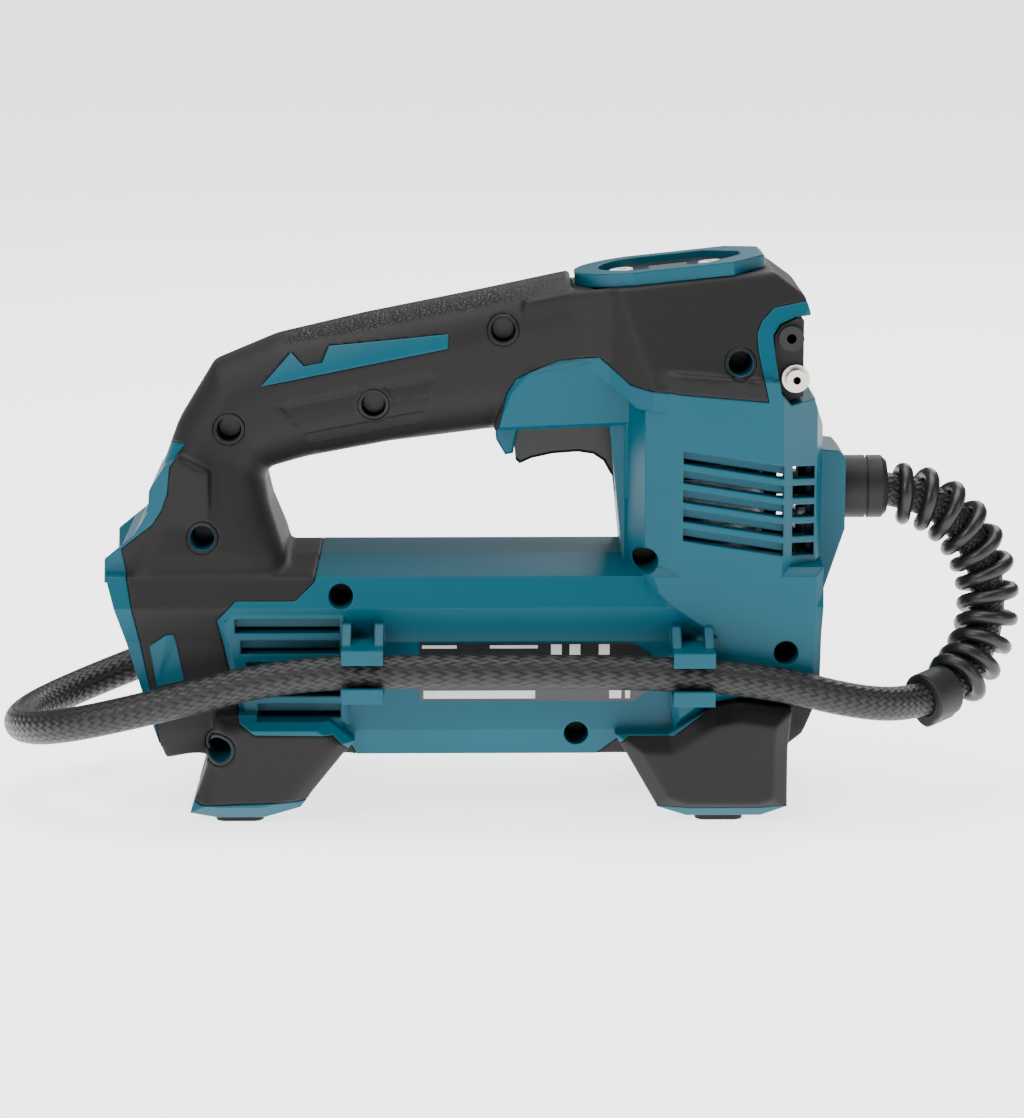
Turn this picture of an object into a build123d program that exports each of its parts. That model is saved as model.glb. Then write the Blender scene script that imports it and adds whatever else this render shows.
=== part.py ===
from build123d import *
import math
import os

os.makedirs("parts", exist_ok=True)

# ---- overall sizes, millimetres; X runs rear to front, Z up, the two housing halves meet at Y = 0 ----
LENGTH = 280.0
FLOOR_GAP = 2.6
BODY_BOTTOM = 24.0
BODY_TOP = 98.0
BODY_HALF = 38.0
RIDGE_HALF = 43.0
BLOCK_HALF = 44.0
PANEL_HALF = 42.0
HEAD_HALF = 42.0
HEAD_TOP_HALF = 27.0
FOOT_HALF = 52.0
FOOT_INNER = 6.0
GRIP_WIDTH = 47.0
SKIN = 2.5
WALL = 3.0
WELL_R = 4.6
SCREW_R = 1.9
FIT = 0.05
GAP = 0.3

REAR = -LENGTH / 2
FRONT = LENGTH / 2
CORE = SKIN
INNER = SKIN + WALL

# ---- drive line ----
MOTOR_R = 19.0
MOTOR_LEN = 52.0
MOTOR_X = 62.0
MOTOR_Z = 73.0
SHAFT_R = 1.6
MODULE = 0.8
PINION_TEETH = 12
GEAR_TEETH = 45
PINION_R = MODULE * PINION_TEETH / 2
CRANK_R = MODULE * GEAR_TEETH / 2
CRANK_Z = MOTOR_Z - PINION_R - CRANK_R
GEAR_X = 71.0
GEAR_T = 6.0
THROW = 6.0
CRANK_PIN_R = 2.5
ROD_X = 88.5
ROD_T = 7.0
BORE_R = 13.0
CYLINDER_WALL = 2.5
PISTON_TOP = 110.4
CYLINDER_LOW = 84.0
CYLINDER_HIGH = 112.0
HEAD_T = 14.0

# ---- hose ----
HOSE_R = 6.5
GLAND_R = 12.0
GLAND_LEN = 17.0
GLAND_Z = 120.5
CLIP_Y = 54.0
HOSE_START = FRONT + 10.0
CLIP_Z = 60.0

# ---- display ----
DISPLAY_TILT = 6.1
DISPLAY_X = 73.5
DISPLAY_Z = 202.58

BODY_OUTLINE = [
    (-118, 22), (-108, BODY_BOTTOM), (114, BODY_BOTTOM), (123, 32), (129, 46), (130.5, 99), (60, BODY_TOP),
    (-66, BODY_TOP), (-138.6, 99.5), (REAR, 96.5),
]
RIM_OUTLINE = [
    (-100, 90), (-100, 132), (-111.5, 137.5), (-117, 133.5), (-122.5, 125), (-123.2, 116.5), (-128.5, 108),
    (-139.6, 99), (-139.9, 90),
]
COLUMN_OUTLINE = [(56, 90), (130.5, 90), (131, 147), (127, 158), (126, 166), (50, 172), (50, 150)]
TRIGGER_HOUSE_OUTLINE = [
    (6, 146), (56, 148), (56, 120), (75, 120), (75, 170), (52, 170), (46, 174), (19, 169), (12, 161),
]
TRIGGER_HOOK = [(7, 150), (7.5, 141), (11, 135), (14, 135.5), (17, 150)]
HEAD_OUTLINE = [
    (18, 171), (18, 195), (36, 198.5), (111, 206.5), (122.5, 198), (124.5, 192), (125.2, 187), (126, 160),
    (118, 156), (60, 156), (44, 168),
]
LEFT_PANEL = [
    (-96.5, 77), (-90, 83.8), (-50, 83.8), (-48, 80), (-48, 36.5), (-53, 35.5), (-83, 36), (-88.6, 40),
]
FRONT_BLOCK = [
    (74, 34), (89, 45), (99, 47), (129, 47), (130, 97), (62, 97), (66, 86), (72, 80), (85, 71), (72, 63),
    (72.5, 49),
]
REAR_FOOT = [
    (-98, 42), (-102, 22), (-108, 4.4), (-98, FLOOR_GAP), (-80, FLOOR_GAP), (-66.5, 6.5), (-46, 32),
    (-58, 42),
]
FRONT_FOOT = [
    (52, 34), (68, 6), (79, FLOOR_GAP), (107, FLOOR_GAP), (117, 6), (117, 28), (118.5, 43), (98, 46),
    (88, 44), (72, 34),
]
SOFT_REGION = [
    (-109.5, 141), (-135, 141), (-135, 215), (135, 215), (135, 195.5), (121.4, 195.5), (110.7, 193.2),
    (106.3, 188.4), (104.5, 184), (104.9, 178), (108.6, 159.5), (63, 163.5), (57.5, 164.6), (51, 170),
    (46.3, 174), (31, 172.4), (20, 168), (15, 165.3), (11.7, 160), (7.5, 143), (4, 128), (-53.8, 118),
    (-53.8, 109), (-56.7, 106), (-60, 94.6), (-60.5, 91.2), (-68, 84.4), (-90.3, 84.4), (-97.2, 77),
    (-89, 39.6), (-83, 35.4), (-54, 35), (-48, 29), (-40, 14), (-60, 9.5), (-104, 8), (-118, 15), (-123, 50),
    (-133.3, 103), (-121.6, 112), (-118, 117.5), (-115.8, 123.6), (-114.8, 133.8),
]
FRONT_COVER_REGION = [
    (45, 24), (57, 33.6), (74, 33.6), (89, 45), (99, 46.4), (128, 46.4), (128, 6.5), (50, 6.5),
]


def mitred(points, distance):
    """The outline moved inwards by distance, corner for corner."""
    count = len(points)
    area = sum(points[i][0] * points[(i + 1) % count][1] - points[(i + 1) % count][0] * points[i][1]
               for i in range(count))
    side = 1 if area > 0 else -1
    moved = []
    for i in range(count):
        (ax, ay), (bx, by), (cx, cy) = points[i - 1], points[i], points[(i + 1) % count]
        before = math.hypot(bx - ax, by - ay)
        after = math.hypot(cx - bx, cy - by)
        nx, ny = -side * (by - ay) / before, side * (bx - ax) / before
        mx, my = -side * (cy - by) / after, side * (cx - bx) / after
        scale = distance / (1 + nx * mx + ny * my)
        moved.append((bx + (nx + mx) * scale, by + (ny + my) * scale))
    return moved


def slab(points, low, high, bevel=0.0, inset=0.0, mode=Mode.ADD):
    """Prism of an X-Z outline from |Y| = low to |Y| = high, its outer edge bevelled at 45 degrees."""
    top = high - inset
    if inset > CORE:
        points = [p for i, p in enumerate(points) if math.dist(p, points[i - 1]) > 6.5]
        bevel = 0
    edge = mitred(points, inset) if inset > 0 else points
    with BuildSketch(Plane.XZ.offset(low)) as lower:
        with BuildLine():
            Polyline(*edge, close=True)
        make_face()
    extrude(lower.sketch, amount=top - bevel - low, mode=mode)
    if bevel > 0:
        with BuildSketch(Plane.XZ.offset(top - bevel)) as rim:
            with BuildLine():
                Polyline(*edge, close=True)
            make_face()
        with BuildSketch(Plane.XZ.offset(top)) as crown:
            with BuildLine():
                Polyline(*mitred(edge, bevel), close=True)
            make_face()
        loft([rim.sketch.face(), crown.sketch.face()], ruled=True, mode=mode)


def across(points, x_low, x_high, mode=Mode.ADD):
    """Prism of a Y-Z outline between two X positions; the outline is given as (|Y|, Z)."""
    with BuildSketch(Plane(origin=(x_low, 0, 0), x_dir=(0, -1, 0), z_dir=(-1, 0, 0))) as profile:
        with BuildLine():
            Polyline(*points, close=True)
        make_face()
    extrude(profile.sketch, amount=-(x_high - x_low), mode=mode)


LOOP_SECTIONS = [
    ((40.0, 177.5), 52.0, GRIP_WIDTH, 16.0, 10.0), ((6.5, 170.6), 52.0, GRIP_WIDTH, 18.0, 10.5),
    ((-37.7, 163.4), 49.0, GRIP_WIDTH, 19.0, 11.0), ((-70.0, 156.6), 47.5, GRIP_WIDTH, 19.0, 14.0),
    ((-89.0, 149.6), 45.0, GRIP_WIDTH + 1, 18.0, 28.0), ((-96.5, 137.0), 39.0, GRIP_WIDTH + 5, 16.0, 58.0),
    ((-100.5, 118.0), 45.0, GRIP_WIDTH + 14, 15.0, 86.0),
    ((-102.0, 102.0), 58.0, GRIP_WIDTH + 24, 13.0, 90.0),
    ((-103.0, 88.0), 66.0, GRIP_WIDTH + 27, 11.0, 90.0),
]


def through(sections, inset, ruled):
    """Skin over rounded sections: each a centre in X-Z, a size across and in depth, a corner and a lean."""
    faces = []
    for (x, z), tall, deep, corner, lean in sections:
        angle = math.radians(lean)
        plane = Plane(origin=(x, 0, z), x_dir=(0, 1, 0), z_dir=(math.cos(angle), 0, math.sin(angle)))
        with BuildSketch(plane) as section:
            RectangleRounded(deep - 2 * inset, tall - 2 * inset, corner - inset)
        faces.append(section.sketch.face())
    loft(faces, ruled=ruled)


def envelope(inset):
    """One half of the tool's outer form, moved inwards by inset."""
    t = inset
    with BuildPart() as trunk:
        slab(BODY_OUTLINE, 0, RIDGE_HALF, 0, t)
        across([(0, 20 + t), (33 - t, 20 + t), (BODY_HALF - t, 34), (BODY_HALF - t, 68), (RIDGE_HALF - t, 82),
                (RIDGE_HALF - 5 - t, 93 - t), (16, BODY_TOP - t), (0, BODY_TOP - t)],
               REAR, FRONT, Mode.INTERSECT)
    with BuildPart() as rear_rim:
        slab(RIM_OUTLINE, 0, 33, 0, t)
    with BuildPart() as handle:
        through(LOOP_SECTIONS, t, True)
        with Locations((0, 60, 100)):
            Box(400, 120, 300, mode=Mode.SUBTRACT)
    with BuildPart() as column:
        slab(COLUMN_OUTLINE, 0, BLOCK_HALF, 0, t)
        with BuildSketch(Plane.XY.offset(80)):
            with BuildLine():
                Polyline((40, 0), (40, -22 + t), (56 + t, -22 + t), (63 + t, -38 + t), (76, -BLOCK_HALF + t),
                         (114 - t * 0.4, -BLOCK_HALF + t), (128 - t, -29), (131 - t, -18), (131 - t, 0),
                         close=True)
            make_face()
        extrude(amount=100, mode=Mode.INTERSECT)
    with BuildPart() as head:
        slab(HEAD_OUTLINE, 0, HEAD_HALF, 0, t)
        across([(0, 150), (HEAD_HALF - t, 150), (HEAD_HALF - t, 164), (HEAD_TOP_HALF - t, 208), (0, 208)],
               REAR, FRONT, Mode.INTERSECT)
        with BuildSketch(Plane.XY.offset(140)):
            with BuildLine():
                Polyline((10, 0), (10, -23 + t), (36 + t, -23 + t), (50 + t, -27 + t),
                         (66 + t, -HEAD_HALF + t), (108 - t, -HEAD_HALF + t), (127 - t, -30), (127 - t, 0),
                         close=True)
            make_face()
        extrude(amount=80, mode=Mode.INTERSECT)
    with BuildPart() as trigger_house:
        slab(TRIGGER_HOUSE_OUTLINE, 0, 25, 1.5, t)
    with BuildPart() as whole:
        add(trunk.part)
        add(rear_rim.part)
        add(handle.part)
        add(column.part)
        add(head.part)
        add(trigger_house.part)
        if t < INNER:
            slab(TRIGGER_HOOK, 0, 13, 1, 0)
            slab(LEFT_PANEL, 20, PANEL_HALF, 2, t)
            slab(FRONT_BLOCK, 20, BLOCK_HALF, 3, t)
            slab(REAR_FOOT, FOOT_INNER + t, FOOT_HALF, 5, t)
            slab(FRONT_FOOT, FOOT_INNER + t, FOOT_HALF, 6, t)
        with Locations((0, 60, 100)):
            Box(400, 120, 300, mode=Mode.SUBTRACT)
    return whole.part


outer_form = envelope(0)
core_form = envelope(CORE)
inner_form = envelope(INNER)

# ---- features shared by both halves ----
RECESS = [(132, 191), (119, 190.2), (113, 187.5), (110.4, 183.5), (111.3, 175), (113.3, 162.5), (117, 158),
          (133, 160)]
RECESS_BACKING = [(134, 195), (116, 194), (106.5, 188), (105, 182), (108, 158), (112, 152), (134, 152)]
BOSS = [(127, 138), (137.5, 137), (FRONT, 134), (FRONT, 107), (130, 77), (127, 77)]
BATTERY_SLOPE = math.atan2(22.0, 74.5)
BATTERY_DROP = (math.sin(BATTERY_SLOPE), -math.cos(BATTERY_SLOPE))
BATTERY_IN = (math.cos(BATTERY_SLOPE), math.sin(BATTERY_SLOPE))
BAY_HALF = 31.0
BAY_DEPTH = 9.0
BAY_LENGTH = 64.0
WELLS = [(10.3, 184), (-38.5, 156), (-92.8, 147), (-102.8, 107.2), (-50.8, 86.1), (63.4, 99.2), (98.2, 173.5),
         (37.5, 32.5), (116, 64.6), (-96.5, 29.6)]
WELL_FLOOR = 14.0
VENT_PITCH = 7.27
VENT_OPEN = 4.75
VENT_FALL = 5.9
PANEL_PITCH = 8.1
PANEL_OPEN = 5.3
CLIPS = ((-50.2, 60.0), (73.0, 58.6))
CLIP_SLACK = 0.6
CLIP_LEN = 15.5
CLIP_OUT = CLIP_Y + HOSE_R + 3.0
SHELF_T = 3.1


def bay_point(drop, depth):
    """X-Z point at a distance down the rear face from its top corner and a depth into the body."""
    return (REAR + drop * BATTERY_DROP[0] + depth * BATTERY_IN[0],
            96.5 + drop * BATTERY_DROP[1] + depth * BATTERY_IN[1])


def bay_cut(half, drop_low, drop_high, depth_low, depth_high):
    """Box cut out along the sloping rear face, on one half."""
    slab([bay_point(drop_low, depth_low), bay_point(drop_high, depth_low), bay_point(drop_high, depth_high),
          bay_point(drop_low, depth_high)], 0, half, mode=Mode.SUBTRACT)


with BuildPart() as cavity:
    add(inner_form)
    slab([(70, 60), (122, 60), (122, 112), (70, 112)], 0, 30)
    slab([(16, 158), (100, 158), (100, 190), (16, 190)], 0, 12)
    slab(RECESS_BACKING, 0, 60, mode=Mode.SUBTRACT)
    bay_cut(BAY_HALF + 4, -30, BAY_LENGTH + 3, -5, BAY_DEPTH + 3)

with BuildPart() as skin_zone:
    slab(SOFT_REGION, 0, 70)

with BuildPart() as cover_zone:
    slab(FRONT_COVER_REGION, 0, 70)

BAFFLE_SLIT = 1.5
with BuildPart() as side_cuts:
    for i in range(5):
        top = 141.4 - VENT_PITCH * i
        for lift, opening, low in ((0.0, VENT_OPEN, 41), (BAFFLE_SLIT - VENT_OPEN, BAFFLE_SLIT, 30)):
            slab([(77, top + lift), (77, top + lift - opening), (114.4, top + lift - opening - VENT_FALL),
                  (114.4, top + lift - VENT_FALL)], low, 60)
        slab([(118, top - 6.5), (118, top - 6.5 - VENT_OPEN), (127, top - 7.9 - VENT_OPEN), (127, top - 7.9)],
             22, 60)
    for i in range(5):
        top = 77.6 - PANEL_PITCH * i
        left = -90.6 + 2.07 * i
        for lift, opening, low in ((0.0, PANEL_OPEN, 37.5), (BAFFLE_SLIT - PANEL_OPEN, BAFFLE_SLIT, 30)):
            slab([(left, top + lift), (left, top + lift - opening), (-51.2, top + lift - opening),
                  (-51.2, top + lift)], low, 60)

with BuildPart() as front_cuts:
    slab(RECESS, 0, 60)
    with Locations((34.5, 0, 140)):
        Box(43, 20.4, 44)
    with Locations(Location((DISPLAY_X, 0, DISPLAY_Z), (0, -DISPLAY_TILT, 0))):
        Box(58, 42, 20)
    with Locations(Location((130, 0, GLAND_Z), (0, 90, 0))):
        Cylinder(8.0 + FIT, 30)
    bay_cut_points = [bay_point(-30, -6), bay_point(BAY_LENGTH, -6), bay_point(BAY_LENGTH, BAY_DEPTH),
                      bay_point(-30, BAY_DEPTH)]
    slab(bay_cut_points, 0, BAY_HALF)
    with Locations((0, 60, 100)):
        Box(400, 120, 300, mode=Mode.SUBTRACT)

with BuildPart() as accent_zone:
    slab([(-80.7, 162.8), (-69.5, 175.1), (-64.5, 170.3), (-57.7, 171.7), (-55.2, 177.6), (-10.1, 182.4),
          (-10.5, 177)], 10, 40)

with BuildPart() as soft_layer:
    add(outer_form)
    add(core_form, mode=Mode.SUBTRACT)
    add(skin_zone.part, mode=Mode.INTERSECT)
    add(accent_zone.part, mode=Mode.SUBTRACT)
    add(front_cuts.part, mode=Mode.SUBTRACT)

with BuildPart() as cover_layer:
    add(outer_form)
    add(core_form, mode=Mode.SUBTRACT)
    add(cover_zone.part, mode=Mode.INTERSECT)

with BuildPart() as well_sleeves:
    for x, z in WELLS:
        with Locations(Location((x, -30, z), (90, 0, 0))):
            Cylinder(WELL_R + 1.2, 60)

with BuildPart() as clips:
    for x, middle in CLIPS:
        for z in (middle + HOSE_R + CLIP_SLACK, middle - HOSE_R - CLIP_SLACK - SHELF_T):
            with Locations((x + CLIP_LEN / 2, -(BODY_HALF - 3 + CLIP_OUT) / 2, z + SHELF_T / 2)):
                Box(CLIP_LEN, CLIP_OUT - BODY_HALF + 3, SHELF_T)
        for z in (middle - HOSE_R + 0.6, middle + HOSE_R - 0.6):
            with Locations((x + CLIP_LEN / 2, -CLIP_OUT + 1.2, z)):
                Box(CLIP_LEN, 2.4, 2.8)
        for rib in (x, x + CLIP_LEN - 3.4):
            with BuildSketch(Plane(origin=(rib, 0, 0), x_dir=(0, -1, 0), z_dir=(-1, 0, 0))) as web:
                with BuildLine():
                    Polyline((BODY_HALF - 2, middle + HOSE_R + 2), (CLIP_OUT - 6, middle + HOSE_R + 2),
                             (BODY_HALF + 8, middle + 16.5), (BODY_HALF - 2, middle + 16.5), close=True)
                make_face()
            extrude(web.sketch, amount=-3.4)

with BuildPart() as half_shell:
    add(outer_form)
    slab(BOSS, 0, 17)
    add(soft_layer.part, mode=Mode.SUBTRACT)
    add(cover_layer.part, mode=Mode.SUBTRACT)
    add(cavity.part, mode=Mode.SUBTRACT)
    add(clips.part)
    add(side_cuts.part, mode=Mode.SUBTRACT)

with BuildPart() as near_sleeves:
    add(well_sleeves.part)
    add(outer_form, mode=Mode.INTERSECT)

with BuildPart() as far_posts:
    add(well_sleeves.part)
    add(core_form, mode=Mode.INTERSECT)

with BuildPart() as well_bores:
    for x, z in WELLS:
        with Locations(Location((x, -WELL_FLOOR - 30, z), (90, 0, 0))):
            Cylinder(WELL_R, 60)
        with Locations(Location((x, -10, z), (90, 0, 0))):
            Cylinder(SCREW_R + 0.2, 20)

with BuildPart() as pilot_bores:
    for x, z in WELLS:
        with Locations(Location((x, -8.5, z), (90, 0, 0))):
            Cylinder(SCREW_R, 17)



def main_solid(moulding):
    """The moulding without the thin offcuts that its cuts leave loose."""
    return moulding.part.solids().sort_by(SortBy.VOLUME)[-1]


with BuildPart() as housing_right:
    add(half_shell.part)
    add(near_sleeves.part)
    add(well_bores.part, mode=Mode.SUBTRACT)
    add(front_cuts.part, mode=Mode.SUBTRACT)
    add(main_solid(housing_right), mode=Mode.REPLACE)

with BuildPart() as far_half:
    add(half_shell.part)
    add(far_posts.part)
    add(pilot_bores.part, mode=Mode.SUBTRACT)
    add(front_cuts.part, mode=Mode.SUBTRACT)

with BuildPart() as housing_left:
    add(main_solid(far_half).mirror(Plane.XZ))

with BuildPart() as grip_right:
    add(soft_layer.part)
    add(near_sleeves.part, mode=Mode.SUBTRACT)
    add(well_bores.part, mode=Mode.SUBTRACT)
    add(main_solid(grip_right), mode=Mode.REPLACE)

with BuildPart() as grip_left:
    add(main_solid(soft_layer).mirror(Plane.XZ))

with BuildPart() as front_foot_cover_right:
    add(cover_layer.part)
    add(near_sleeves.part, mode=Mode.SUBTRACT)
    add(well_bores.part, mode=Mode.SUBTRACT)
    add(main_solid(front_foot_cover_right), mode=Mode.REPLACE)

with BuildPart() as front_foot_cover_left:
    add(main_solid(cover_layer).mirror(Plane.XZ))

# ---- display ----
DISPLAY = Location((DISPLAY_X, 0, DISPLAY_Z), (0, -DISPLAY_TILT, 0))
RING_OUT = (72.0, 54.0)
RING_IN = (54.0, 40.0)
RING_T = 5.0
PANEL_T = 3.0
PANEL_SINK = 2.4
LCD = (15.0, 24.0)
POWER_AT = (-18.0, 3.0)
UNIT_AT = (15.5, 0.0)
POWER_SIZE = (4.5, 6.0)
UNIT_R = 4.2
BUTTON_GAP = 0.25


def ring_outline(length, width):
    """Half-round at the rear end, cut corners at the front end."""
    half = width / 2
    with BuildLine() as edge:
        Polyline((-length / 2 + half * 0.8, half), (length / 2 - 13, half), (length / 2 - 2, half - 12),
                 (length / 2, half - 15), (length / 2, -half + 15), (length / 2 - 2, -half + 12),
                 (length / 2 - 13, -half), (-length / 2 + half * 0.8, -half))
        ThreePointArc((-length / 2 + half * 0.8, -half), (-length / 2, 0), (-length / 2 + half * 0.8, half))
    make_face(edge.edges())


with BuildPart() as display_bezel:
    with BuildSketch(Plane(DISPLAY)) as ring:
        ring_outline(*RING_OUT)
    extrude(amount=RING_T)
    chamfer(display_bezel.faces().sort_by(Axis.Z)[-1].outer_wire().edges(), 1.2)
    with BuildSketch(Plane(DISPLAY)) as hole:
        ring_outline(*RING_IN)
    extrude(amount=RING_T, mode=Mode.SUBTRACT)

with BuildPart() as display_panel:
    with BuildSketch(Plane(DISPLAY).offset(RING_T - PANEL_SINK - PANEL_T)) as pane:
        ring_outline(RING_IN[0] - 0.4, RING_IN[1] - 0.4)
        Rectangle(*LCD, mode=Mode.SUBTRACT)
        with Locations(POWER_AT):
            Ellipse(POWER_SIZE[0] + BUTTON_GAP, POWER_SIZE[1] + BUTTON_GAP, mode=Mode.SUBTRACT)
        with Locations(UNIT_AT):
            Circle(UNIT_R + BUTTON_GAP, mode=Mode.SUBTRACT)
    extrude(amount=PANEL_T)

with BuildPart() as lcd_module:
    with BuildSketch(Plane(DISPLAY).offset(-6.0)):
        Rectangle(LCD[0] - 0.1, LCD[1] - 0.1)
    extrude(amount=RING_T - PANEL_SINK - 0.4 + 6.0)

with BuildPart() as power_button:
    with BuildSketch(Plane(DISPLAY).offset(-4.0)):
        with Locations(POWER_AT):
            Ellipse(*POWER_SIZE)
    extrude(amount=RING_T - PANEL_SINK + 0.5 + 4.0)

with BuildPart() as unit_button:
    with BuildSketch(Plane(DISPLAY).offset(-4.0)):
        with Locations(UNIT_AT):
            Circle(UNIT_R)
    extrude(amount=RING_T - PANEL_SINK + 0.5 + 4.0)

with BuildPart() as control_board:
    with BuildSketch(Plane(DISPLAY).offset(-7.6)):
        Rectangle(56, 38)
    extrude(amount=1.6)

# ---- trigger ----
TRIGGER_HALF = 9.8
with BuildPart() as trigger:
    with BuildSketch(Plane.XZ.offset(-TRIGGER_HALF)):
        with BuildLine():
            Polyline((14, 145), (15, 132.4), (16.6, 131), (21, 133), (29, 134.8), (38.7, 135.5),
                     (44.5, 134.6), (48.4, 132), (50.8, 127.6), (52.4, 125.4), (54.6, 125), (54.6, 129),
                     (53, 146), (50, 152), (16, 152), close=True)
        make_face()
    extrude(amount=2 * TRIGGER_HALF)
    chamfer(trigger.edges().filter_by(Axis.Y, reverse=True).filter_by(lambda e: e.center().Z < 137), 1.2)

with BuildPart() as trigger_spring:
    for level in range(4):
        with Locations((30, 0, 153.1 + 2.9 * level)):
            Torus(3.4, 0.6)
    with Locations((30, 0, 158.0)):
        Cylinder(0.9, 11.0)

with BuildPart() as trigger_switch:
    with Locations((32, 0, 170.0)):
        Box(26, 14, 13)

# ---- battery bay: terminal block, blades ----
with BuildPart() as terminal_block:
    slab([bay_point(20, BAY_DEPTH), bay_point(60, BAY_DEPTH), bay_point(60, 4.6), bay_point(57, 3.4),
          bay_point(24, 3.4), bay_point(20, 5.6)], -14, 14)
    for y in (-9, -3.2, 3.2, 9):
        slab([bay_point(16, 4.6), bay_point(52, 4.6), bay_point(52, 2.6), bay_point(16, 2.6)],
             y - 0.9, y + 0.9, mode=Mode.SUBTRACT)

with BuildPart() as terminal_contacts:
    for y in (-9, 9):
        slab([bay_point(28, 4.6), bay_point(50, 4.6), bay_point(50, 0.8), bay_point(30, 0.8)],
             y - 0.45, y + 0.45)
    for y in (-3.2, 3.2):
        slab([bay_point(34, 4.6), bay_point(48, 4.6), bay_point(48, 2.2), bay_point(35, 2.2)],
             y - 0.3, y + 0.3)

# ---- motor ----
ALONG = (0, 90, 0)


def barrel(x_low, x_high, radius, z, y=0.0, mode=Mode.ADD):
    """Cylinder along X."""
    with Locations(Location(((x_low + x_high) / 2, y, z), ALONG)):
        Cylinder(radius, x_high - x_low, mode=mode)


with BuildPart() as motor_can:
    barrel(MOTOR_X - MOTOR_LEN, MOTOR_X, MOTOR_R, MOTOR_Z)
    barrel(MOTOR_X - MOTOR_LEN, MOTOR_X - 2, MOTOR_R - 2, MOTOR_Z, mode=Mode.SUBTRACT)
    barrel(MOTOR_X - 3, MOTOR_X + 1, 4.0, MOTOR_Z, mode=Mode.SUBTRACT)
    for turn in range(4):
        with Locations(Location((MOTOR_X - 1, 0, MOTOR_Z), (45 + 90 * turn, 0, 0)) * Location((0, 0, 11.5))):
            Box(4, 6, 8, mode=Mode.SUBTRACT)

with BuildPart() as armature:
    barrel(MOTOR_X - MOTOR_LEN + 8, MOTOR_X - 6, 14.0, MOTOR_Z)
    for turn in range(5):
        with Locations(Location((MOTOR_X - 26, 0, MOTOR_Z), (36 + 72 * turn, 0, 0)) * Location((0, 0, 13))):
            Box(60, 3, 8, mode=Mode.SUBTRACT)
    barrel(MOTOR_X - MOTOR_LEN - 13, MOTOR_X + 10, SHAFT_R, MOTOR_Z)

with BuildPart() as motor_end_cap:
    barrel(MOTOR_X - MOTOR_LEN - 4, MOTOR_X - MOTOR_LEN, MOTOR_R - 0.6, MOTOR_Z)
    barrel(MOTOR_X - MOTOR_LEN - 5, MOTOR_X - MOTOR_LEN + 1, SHAFT_R + FIT, MOTOR_Z, mode=Mode.SUBTRACT)

with BuildPart() as cooling_fan:
    barrel(MOTOR_X - MOTOR_LEN - 12, MOTOR_X - MOTOR_LEN - 5, 5.0, MOTOR_Z)
    for turn in range(9):
        with Locations(Location((MOTOR_X - MOTOR_LEN - 8.5, 0, MOTOR_Z), (40 * turn, 0, 0))
                       * Location((0, 0, 10.2), (0, 0, 24))):
            Box(6.5, 1.2, 12.6)
    barrel(MOTOR_X - MOTOR_LEN - 14, MOTOR_X - MOTOR_LEN - 4, SHAFT_R, MOTOR_Z, mode=Mode.SUBTRACT)


def gear_outline(teeth, phase):
    """Spur gear face with straight-sided teeth on the shared module."""
    root = MODULE * teeth / 2 - 1.25 * MODULE
    tip = MODULE * teeth / 2 + 0.9 * MODULE
    pitch = 360.0 / teeth
    pts = []
    for tooth in range(teeth):
        for share, radius in ((-0.34, root), (-0.13, tip), (0.13, tip), (0.34, root)):
            angle = math.radians(phase + (tooth + share) * pitch)
            pts.append((radius * math.cos(angle), radius * math.sin(angle)))
    with BuildLine() as edge:
        Polyline(*pts, close=True)
    make_face(edge.edges())


with BuildPart() as motor_pinion:
    with BuildSketch(Plane(origin=(GEAR_X - 1, 0, MOTOR_Z), x_dir=(0, 0, 1), z_dir=(1, 0, 0))):
        gear_outline(PINION_TEETH, 180.0)
        Circle(SHAFT_R, mode=Mode.SUBTRACT)
    extrude(amount=GEAR_T)

with BuildPart() as crank_gear:
    with BuildSketch(Plane(origin=(GEAR_X, 0, CRANK_Z), x_dir=(0, 0, 1), z_dir=(1, 0, 0))):
        gear_outline(GEAR_TEETH, 180.0 / GEAR_TEETH)
    extrude(amount=GEAR_T)
    barrel(62.4, GEAR_X, 3.0, CRANK_Z)
    barrel(GEAR_X + GEAR_T, GEAR_X + GEAR_T + 4, 9.5, CRANK_Z)
    with Locations((GEAR_X + GEAR_T + 2, 0, CRANK_Z - 8)):
        Box(4, 22, 9)
    barrel(GEAR_X + GEAR_T, ROD_X - GAP, CRANK_PIN_R, CRANK_Z + THROW)

with BuildPart() as gear_bearing:
    barrel(62.2, 67.6, 6.0, CRANK_Z)
    barrel(60, 69, 3.0 + FIT, CRANK_Z, mode=Mode.SUBTRACT)

FRAME_LOW = 30.0
FRAME_TOP = CYLINDER_LOW
with BuildPart() as gear_frame:
    with Locations((65, 0, (FRAME_LOW + 90) / 2)):
        Box(6, 46, 90 - FRAME_LOW)
    with Locations((88, 0, FRAME_TOP - 1.5)):
        Box(40, 46, 3)
    for y in (-21.5, 21.5):
        with Locations((88, y, (FRAME_LOW + FRAME_TOP) / 2)):
            Box(40, 3, FRAME_TOP - FRAME_LOW)
    with Locations((88, 0, FRAME_LOW + 13)):
        Box(26, 60, 18, mode=Mode.SUBTRACT)
    barrel(60, 70, 5.6, MOTOR_Z, mode=Mode.SUBTRACT)
    barrel(62, 70, 6.0, CRANK_Z, mode=Mode.SUBTRACT)
    with Locations((ROD_X + ROD_T / 2, 0, FRAME_TOP)):
        Cylinder(BORE_R, 20, mode=Mode.SUBTRACT)

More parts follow.
